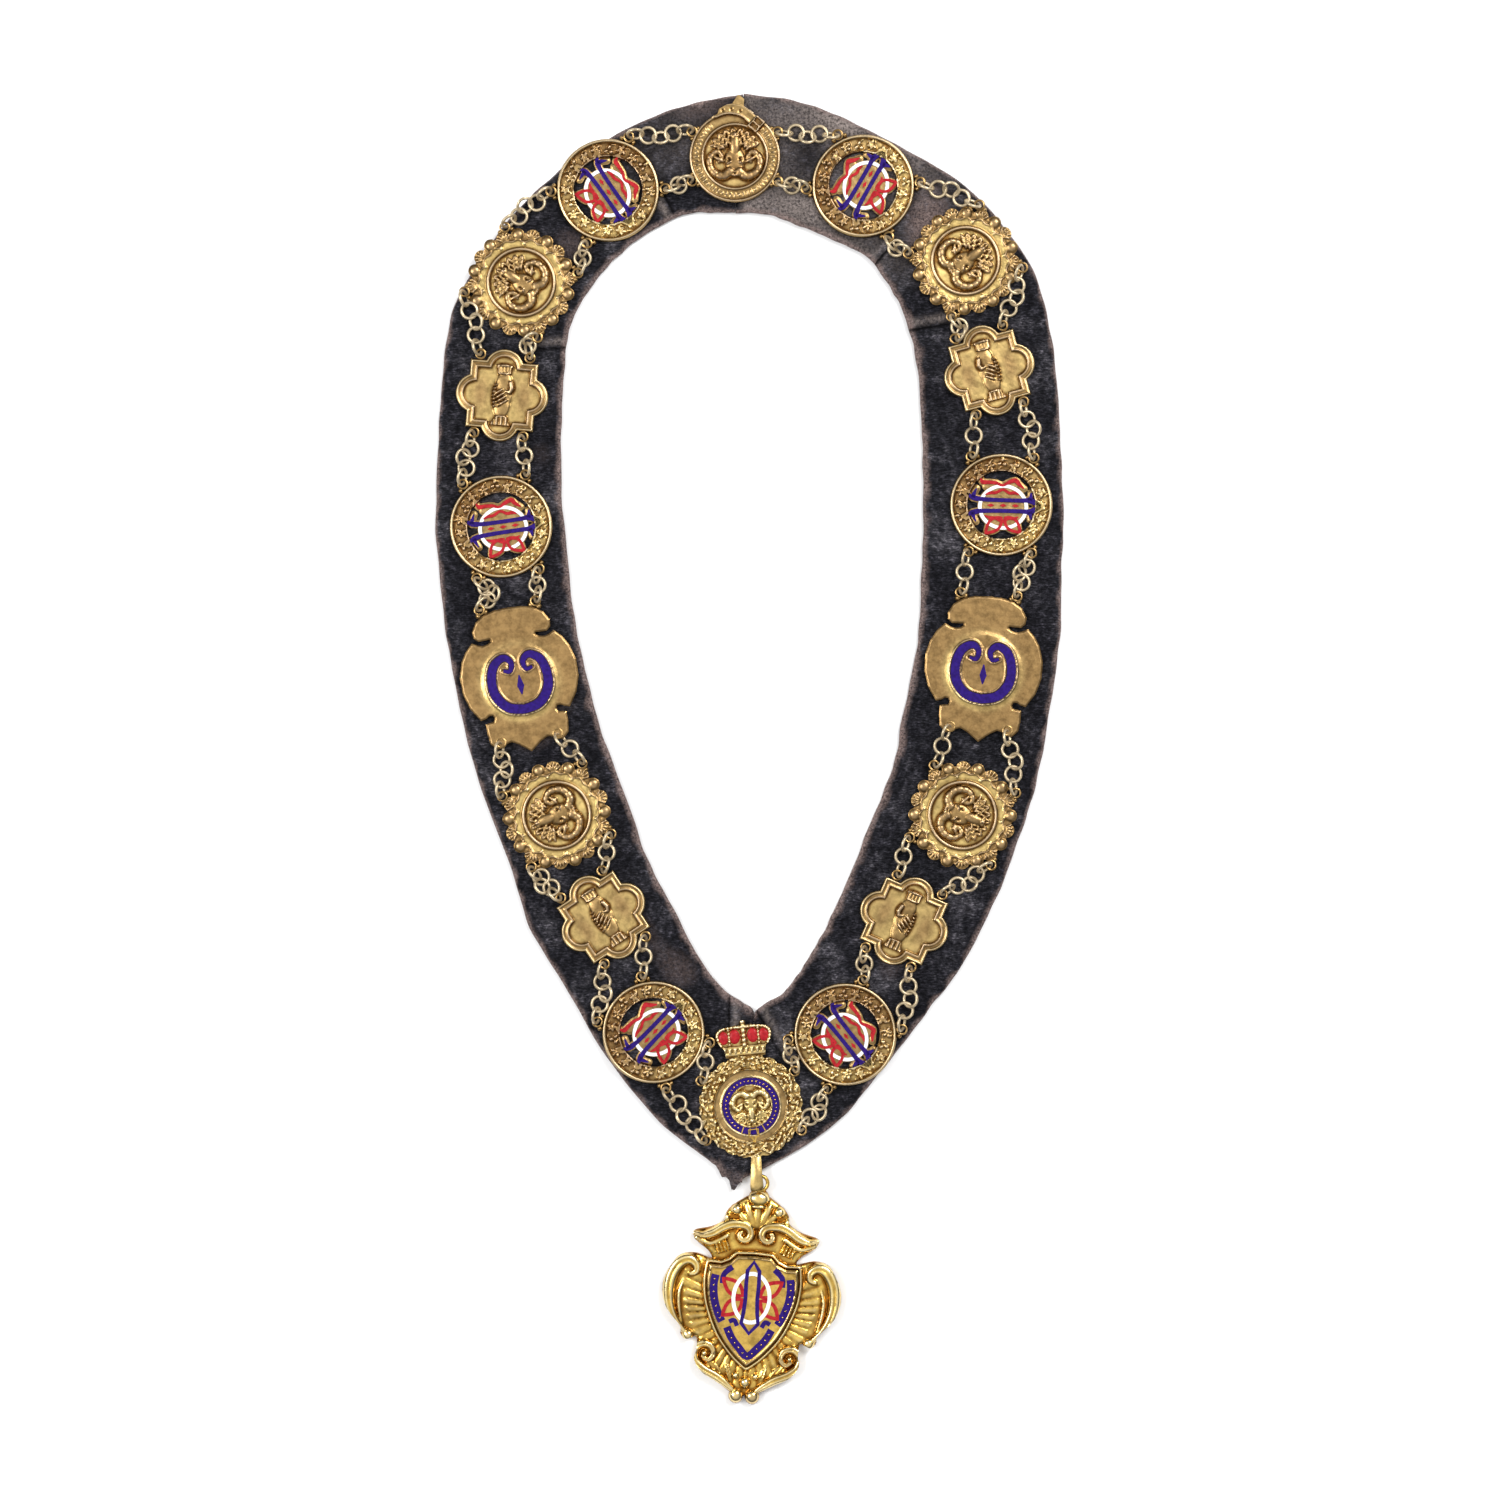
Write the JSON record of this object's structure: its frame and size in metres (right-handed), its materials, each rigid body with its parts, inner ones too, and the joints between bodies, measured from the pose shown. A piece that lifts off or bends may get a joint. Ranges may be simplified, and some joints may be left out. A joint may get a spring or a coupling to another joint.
{
  "type": "chain of office",
  "caption": "Velvet collar laid flat, with cast gilt plates joined by link chains, a wreathed centre medallion and a scrollwork pendant with an enamelled shield.",
  "frame": {"origin": "on the resting surface, under the middle of the whole piece's box", "axes": "+Y from the pendant to the top seam, +Z out of the surface towards the viewer, +X to the viewer's right"},
  "size_m": [0.276, 0.576, 0.0105],
  "materials": {
    "velvet": "worn black velvet",
    "antique_gilt": "antique gilt with dark recesses and coloured enamel",
    "pale_brass": "polished pale brass",
    "bright_gilt": "bright gilt with coloured enamel"
  },
  "bodies": {
    "root": {"velvet_left": "velvet", "velvet_right": "velvet", "top_medallion": "antique_gilt", "knot_disc_1L": "antique_gilt", "knot_disc_2L": "antique_gilt", "knot_disc_3L": "antique_gilt", "scallop_1L": "antique_gilt", "scallop_2L": "antique_gilt", "quatrefoil_1L": "antique_gilt", "quatrefoil_2L": "antique_gilt", "cartouche_L": "antique_gilt", "knot_disc_1R": "antique_gilt", "knot_disc_2R": "antique_gilt", "knot_disc_3R": "antique_gilt", "scallop_1R": "antique_gilt", "scallop_2R": "antique_gilt", "quatrefoil_1R": "antique_gilt", "quatrefoil_2R": "antique_gilt", "cartouche_R": "antique_gilt", "centre_medallion": "antique_gilt", "outer_chain_1L": "pale_brass", "outer_chain_2L": "pale_brass", "outer_chain_3L": "pale_brass", "outer_chain_4L": "pale_brass", "outer_chain_5L": "pale_brass", "outer_chain_6L": "pale_brass", "outer_chain_7L": "pale_brass", "outer_chain_8L": "pale_brass", "outer_chain_9L": "pale_brass", "inner_chain_1L": "pale_brass", "inner_chain_2L": "pale_brass", "inner_chain_3L": "pale_brass", "inner_chain_4L": "pale_brass", "inner_chain_5L": "pale_brass", "inner_chain_6L": "pale_brass", "inner_chain_7L": "pale_brass", "inner_chain_8L": "pale_brass", "inner_chain_9L": "pale_brass", "outer_chain_1R": "pale_brass", "outer_chain_2R": "pale_brass", "outer_chain_3R": "pale_brass", "outer_chain_4R": "pale_brass", "outer_chain_5R": "pale_brass", "outer_chain_6R": "pale_brass", "outer_chain_7R": "pale_brass", "outer_chain_8R": "pale_brass", "outer_chain_9R": "pale_brass", "inner_chain_1R": "pale_brass", "inner_chain_2R": "pale_brass", "inner_chain_3R": "pale_brass", "inner_chain_4R": "pale_brass", "inner_chain_5R": "pale_brass", "inner_chain_6R": "pale_brass", "inner_chain_7R": "pale_brass", "inner_chain_8R": "pale_brass", "inner_chain_9R": "pale_brass", "pendant_frame": "bright_gilt", "pendant_shield": "bright_gilt"}
  },
  "joints": []
}
